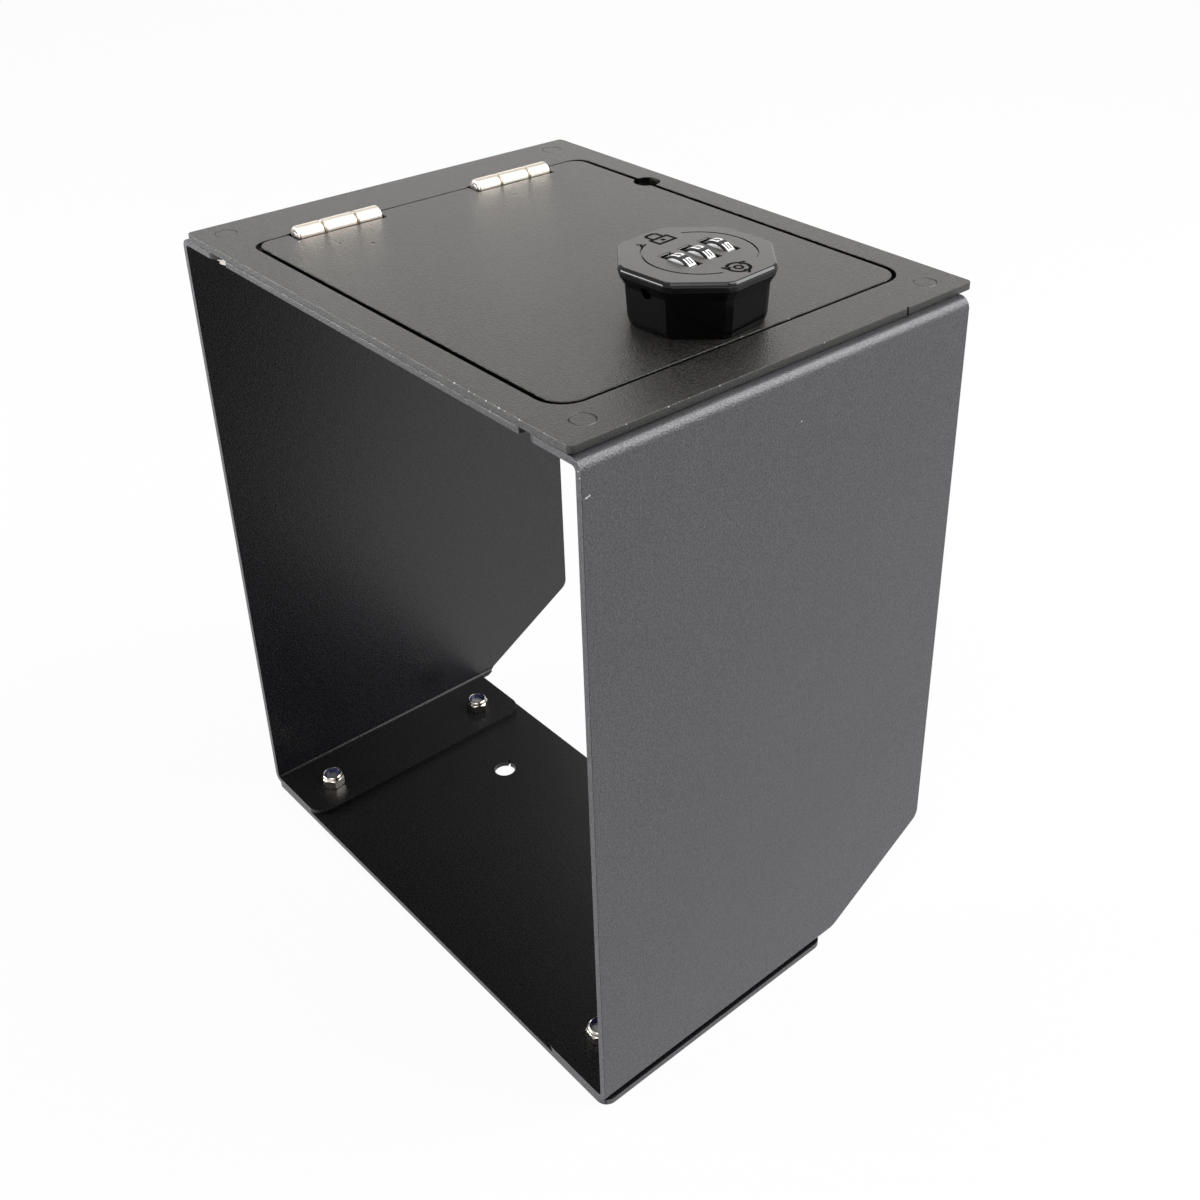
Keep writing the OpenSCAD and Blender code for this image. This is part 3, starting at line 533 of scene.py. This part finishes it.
def printed(lines):
    """Thin flat lines in mm, seen from above in the knob's frame: (points, width, closed) each."""
    shape = bmesh.new()
    for points, width, closed in lines:
        spots, rows = [Vector(p) for p in points], []
        for i, spot in enumerate(spots):
            before = spots[i - 1] if i or closed else 2 * spot - spots[1]
            after = spots[(i + 1) % len(spots)] if i + 1 < len(spots) or closed else 2 * spot - spots[i - 1]
            one, two = [Vector((-d.y, d.x)).normalized() for d in (spot - before, after - spot)]
            across = (one + two).normalized()
            across = across * width / 2 / across.dot(one)
            rows.append([shape.verts.new((*((spot + side * across) * mm), (knob_top + ink_top) * mm))
                         for side in (1, -1)])
        for (a, b), (c, d) in zip(rows, rows[1:] + (rows[:1] if closed else [])):
            shape.faces.new((a, b, d, c))
    bmesh.ops.recalc_face_normals(shape, faces=shape.faces)
    for face in shape.faces:
        if face.normal.z < 0:
            face.normal_flip()
    bmesh.ops.solidify(shape, geom=shape.faces[:], thickness=ink_t * mm)
    bmesh.ops.recalc_face_normals(shape, faces=shape.faces)
    bmesh.ops.transform(shape, matrix=to_knob, verts=shape.verts)
    return shape


def bow(x, y, r, start, end, steps):
    """Points of an arc about (x, y), from one angle to the other in degrees."""
    return [(x + r * cos(radians(start + (end - start) * i / steps)),
             y + r * sin(radians(start + (end - start) * i / steps))) for i in range(steps + 1)]


lock_sign = [([(-16.4, -1.7), (-12.7, -1.7), (-12.7, 4.9), (-16.4, 4.9)], 1.0, True),
             ([(-15.2, 1.6), (-13.9, 1.6)], 1.4, False),
             ([(-16.8, -0.6), (-19.2, -0.6), (-20.0, 0.2), (-20.0, 2.8), (-19.2, 3.6), (-16.8, 3.6)],
              1.0, False)]
turn_sign = [(bow(sign_x, sign_y, 3.3, 14 + 120 * i, 112 + 120 * i, 10), 1.0, False) for i in range(3)]
turn_sign += [([(sign_x + r * cos(radians(a)), sign_y + r * sin(radians(a))) for r, a in (
    (2.4, 106 + 120 * i), (3.4, 132 + 120 * i), (4.8, 108 + 120 * i))], 0.9, False) for i in range(3)]
turn_sign += [(bow(sign_x, sign_y, 1.2, 0, 324, 9), 0.8, True)]
start_hook = [([(-14.7, -7.1), (-16.2, -5.8), (-17.2, -6.8)], 0.8, False)]

cap_grey = Paint("cap_satin_grey", IOR=1.6)
cap_grey.feed(Base_Color=cap_grey.mix(cap_grey.noise(60), (0.04, 0.038, 0.036, 1), (0.055, 0.053, 0.05, 1)),
              Roughness=0.3 + cap_grey.noise(900) * 0.08,
              Normal=cap_grey.bump(cap_grey.noise(1500, 3.0), 0.05 * mm, 0.4))
rim_lacquer = lacquered("rim_lacquer", 1.52)
print_black = Paint("sign_black", IOR=1.1, Roughness=0.7)
print_black.feed(Base_Color=print_black.mix(print_black.noise(900), (0.003, 0.003, 0.003, 1),
                                            (0.006, 0.006, 0.006, 1)))


def in_groove(middle):
    spot = to_knob.inverted() @ (middle * mm) / mm
    return spot.z > groove_top and groove_in < hypot(spot.x, spot.y - row_y) < groove_out


cover = eased("knob_cap", 0.5, sharp=14, steps=4, keep=in_groove)
for face in cover.faces:
    middle = face.calc_center_median() / mm
    top_face = face.normal.z > 0.99 and middle.z > top_z + knob_top - 0.05
    face.material_index = 0 if top_face else 2 if in_groove(middle) else 1
signs = printed(lock_sign + turn_sign + start_hook)
for face in signs.faces:
    face.material_index = 2
fixed(joined(cover, signs), "knob_cover", "knob", "knob_cap",
      [cap_grey.material, rim_lacquer, print_black.material], "knob_cap", smooth=50)

# Number dials
# Three black plastic wheels with raised white numbers, 0 to 9, and white sides, threaded on the axle.
dial_r, dial_w, dial_pitch, axle_z = 7.5, 3.5, 8.1, 12.0
strokes = {0: "abcdef", 1: "bc", 2: "abged", 3: "abgcd", 4: "fgbc", 5: "afgcd", 6: "afgedc", 7: "abc",
           8: "abcdefg", 9: "abcdfg"}
digit_w, digit_h, stroke, digit_t, digit_sunk, number_turn = 3.1, 2.6, 0.5, 0.14, 0.08, -7
axle_bore, hub_r, white_r, rim_r = 1.68, 2.6, 6.65, 7.35


def bar_box(letter):
    """The lowest and highest corner of one stroke of a number, across and up, in mm."""
    w, h, s = digit_w / 2, digit_h / 2, stroke
    return {"a": (-w, w, h - s, h), "g": (-w, w, -s / 2, s / 2), "d": (-w, w, -h, s - h),
            "f": (-w, s - w, s / 2, h - s), "e": (-w, s - w, s - h, -s / 2),
            "b": (w - s, w, s / 2, h - s), "c": (w - s, w, s - h, -s / 2)}[letter]


def number_ring():
    """One wheel's raised numbers, wrapped round the Y axis with 0 at the top and their tops towards +Y."""
    ring = bmesh.new()
    for number, letters in strokes.items():
        for letter in letters:
            left, right, low, high = bar_box(letter)
            start = len(ring.verts)
            bmesh.ops.create_cube(ring, size=1)
            ring.verts.ensure_lookup_table()
            bar = ring.verts[start:]
            bmesh.ops.transform(ring, matrix=Matrix.Translation(((left + right) / 2, (low + high) / 2, 0))
                                @ Matrix.Diagonal((right - left, high - low, digit_t, 1)), verts=bar)
            bmesh.ops.subdivide_edges(ring, edges=[e for e in {e for v in bar for e in v.link_edges}
                                                   if abs(e.verts[0].co.x - e.verts[1].co.x) > 1], cuts=3)
            ring.verts.ensure_lookup_table()
            for v in ring.verts[start:]:
                angle = radians(number_turn - 36 * number) + v.co.x / dial_r
                r = dial_r - digit_sunk + v.co.z
                v.co = Vector((r * sin(angle), v.co.y, r * cos(angle))) * mm
    return ring


black_plastic = Paint("dial_black_plastic", IOR=1.5)
black_plastic.feed(Base_Color=black_plastic.mix(black_plastic.noise(200), (0.006, 0.006, 0.007, 1),
                                                (0.012, 0.012, 0.013, 1)),
                   Roughness=black_plastic.noise(500) * 0.1 + 0.3)
white_paint = Paint("dial_white_fill", IOR=1.5)
white_paint.feed(Base_Color=white_paint.mix(white_paint.noise(300), (0.9, 0.9, 0.9, 1),
                                            (0.97, 0.97, 0.96, 1)),
                 Roughness=white_paint.noise(700) * 0.1 + 0.35)
half = dial_w / 2
wheel_side = [(axle_bore, half), (hub_r - 0.1, half), (hub_r, half - 0.1), (white_r, half - 0.1),
              (white_r + 0.05, half), (rim_r, half), (dial_r - 0.05, half - 0.15)]
for i, name in enumerate(("front", "middle", "rear")):
    wheel = turned([(r, -y) for r, y in wheel_side] + wheel_side[::-1], 96)
    bmesh.ops.transform(wheel, matrix=Matrix.Rotation(-pi / 2, 4, "X"), verts=wheel.verts)
    for face in wheel.faces:
        middle = face.calc_center_median() / mm
        white = hub_r < hypot(middle.x, middle.z) < white_r + 0.02 and abs(middle.y) > half - 0.15
        face.material_index = 1 if white else 0
    ring = number_ring()
    for face in ring.faces:
        face.material_index = 1
    wheel = joined(wheel, ring)
    bmesh.ops.transform(wheel, verts=wheel.verts, matrix=to_knob @ Matrix.Translation(
        (0, (row_y + (i - 1) * dial_pitch) * mm, axle_z * mm)))
    fixed(wheel, name + "_wheel", name + "_dial", "dial", [black_plastic.material, white_paint.material],
          name + "_dial")

# Dial axle, click springs and drive plate
# The steel axle ends in the reset hole. Under the dials lie three click springs, and a zinc plate with
# the spindle closes the knob from below, held by two screws.
spring_steel = plated("spring_strip", (0.6, 0.6, 0.6, 1), 0.25)
zinc_casting = plated("zinc_casting", (0.6, 0.6, 0.59, 1), 0.38)
for node, finish, slot in (
        ("dial_axle", pin_steel, "pin_metal"), ("detent_springs", spring_steel, "spring_steel"),
        ("drive_plate", zinc_casting, "zinc"), ("drive_screws", nut_plate, "nut_metal")):
    fixed(eased(node, 0.1), node + "_dressed", "knob", slot, [finish], node)

# Lock barrel and its fastening
# The zinc barrel stands in the lid's double flatted hole on a rubber gasket, held from below by a
# toothed washer and a flat hexagonal nut on its thread.
barrel_thread = plated("barrel_thread", (0.6, 0.6, 0.59, 1), 0.34, pitch=1.0)
rubber = Paint("black_rubber", Roughness=0.7, IOR=1.5)
rubber.feed(Base_Color=rubber.mix(rubber.noise(400), (0.012, 0.012, 0.012, 1), (0.02, 0.02, 0.02, 1)),
            Normal=rubber.bump(rubber.noise(1200), 0.02 * mm, 0.4))
for node, finish, slot, ease in (
        ("lock_barrel", barrel_thread, "zinc", 0.25), ("lock_gasket", rubber.material, "gasket", 0.1),
        ("lock_washer", nut_plate, "nut_metal", 0.15), ("lock_nut", nut_plate, "nut_metal", 0.4)):
    fixed(eased(node, ease), node + "_dressed", "lid", slot, [finish], node)

# Cam
# The cranked zinc plated steel arm on the spindle's square end, held by a washer and a screw. Its
# raised tip swings under the top flange to lock the lid.
cam_plate = plated("cam_zinc_plate", (0.66, 0.65, 0.6, 1), 0.3)
for node, finish, slot, ease in (
        ("cam", cam_plate, "zinc", 0.4), ("cam_washer", nut_plate, "nut_metal", 0.2),
        ("cam_screw", nut_plate, "nut_metal", 0.3)):
    fixed(eased(node, ease), node + "_dressed", "knob", slot, [finish], node)

# Floor, light and camera
# A white floor under a pale sky. Soft boxes hang above, behind on the right and in front on the right. A
# flat low one in front on the left catches the eased edges, and the top plate mirrors a broad low one
# behind on the left.
lamp_aim, back_glow, plain_glow = Vector((0, 0, 0.15)), (1, 0.97, 0.93), (1, 1, 1)
floor_glow, sky_glow, sky_more = 0.95, 0.25, (("Is Glossy Ray", 0.15), ("Is Camera Ray", 0.75))
floor_mesh = bpy.data.meshes.new("floor")
floor_shape = bmesh.new()
bmesh.ops.create_grid(floor_shape, x_segments=1, y_segments=1, size=6)
floor_shape.to_mesh(floor_mesh)
floor_shape.free()
floor = bpy.data.objects.new("floor", floor_mesh)
bpy.context.scene.collection.objects.link(floor)
floor_paint = Paint("white_floor", Roughness=0.9, Specular_IOR_Level=0.0, Base_Color=(0.62, 0.62, 0.62, 1))
path = floor_paint.add("ShaderNodeLightPath").socket.node.outputs
seen = Wire(floor_paint, path["Is Camera Ray"]) + Wire(floor_paint, path["Is Glossy Ray"])
glow = floor_paint.add("ShaderNodeEmission", {}, {"Color": (1, 1, 1, 1), "Strength": 1.0})
blend = floor_paint.add("ShaderNodeMixShader", {}, {0: seen * floor_glow})
floor_paint.tree.links.new(floor_paint.surface.outputs[0], blend.socket.node.inputs[1])
floor_paint.tree.links.new(glow.socket, blend.socket.node.inputs[2])
floor_paint.tree.links.new(blend.socket, floor_paint.tree.nodes["Material Output"].inputs[0])
floor_mesh.materials.append(floor_paint.material)

world = bpy.data.worlds.new("white_room")
bpy.context.scene.world = world
world.use_nodes = True
sky = world.node_tree
sky_path, level = sky.nodes.new("ShaderNodeLightPath"), sky.nodes.new("ShaderNodeValue").outputs[0]
level.default_value = sky_glow
for ray, more in sky_more:
    node = sky.nodes.new("ShaderNodeMath")
    node.operation = "MULTIPLY_ADD"
    sky.links.new(sky_path.outputs[ray], node.inputs[0])
    node.inputs[1].default_value = more
    sky.links.new(level, node.inputs[2])
    level = node.outputs[0]
sky.links.new(level, sky.nodes["Background"].inputs["Strength"])
sky.nodes["Background"].inputs["Color"].default_value = (1, 1, 1, 1)

for name, place, width, height, power, colour in (
        ("back_box", (0.74, 0.77, 1.06), 1.2, 1.2, 28, plain_glow),
        ("left_box", (-0.75, -1.05, 0.38), 1.1, 0.34, 17, plain_glow),
        ("low_back_box", (-1.2, 1.1, 0.68), 2.0, 0.9, 5.3, back_glow),
        ("front_box", (0.6, -0.8, 1.45), 0.9, 0.9, 6, plain_glow),
        ("top_box", (-0.25, 0.25, 1.6), 1.3, 1.3, 5, plain_glow)):
    lamp = bpy.data.lights.new(name, "AREA")
    lamp.color, lamp.energy = colour, power
    lamp.shape, lamp.size, lamp.size_y = "RECTANGLE", width, height
    holder = bpy.data.objects.new(name, lamp)
    holder.location = place
    holder.rotation_euler = (lamp_aim - Vector(place)).to_track_quat("-Z", "Y").to_euler()
    bpy.context.scene.collection.objects.link(holder)

azimuth, elevation = radians(47.445), radians(29.309)
back = Vector((sin(azimuth) * cos(elevation), -cos(azimuth) * cos(elevation), sin(elevation)))
camera = bpy.data.cameras.new("camera")
camera.lens, camera.sensor_width = 43.85, 36
camera.shift_x, camera.shift_y = -0.06758, -0.10836
camera.clip_start, camera.clip_end = 0.01, 40
view = bpy.data.objects.new("camera", camera)
view.location = (0.344748, -0.266453, 0.403482)
view.rotation_euler = (-back).to_track_quat("-Z", "Y").to_euler()
bpy.context.scene.collection.objects.link(view)
bpy.context.scene.camera = view
bpy.context.scene.view_settings.view_transform = "Standard"
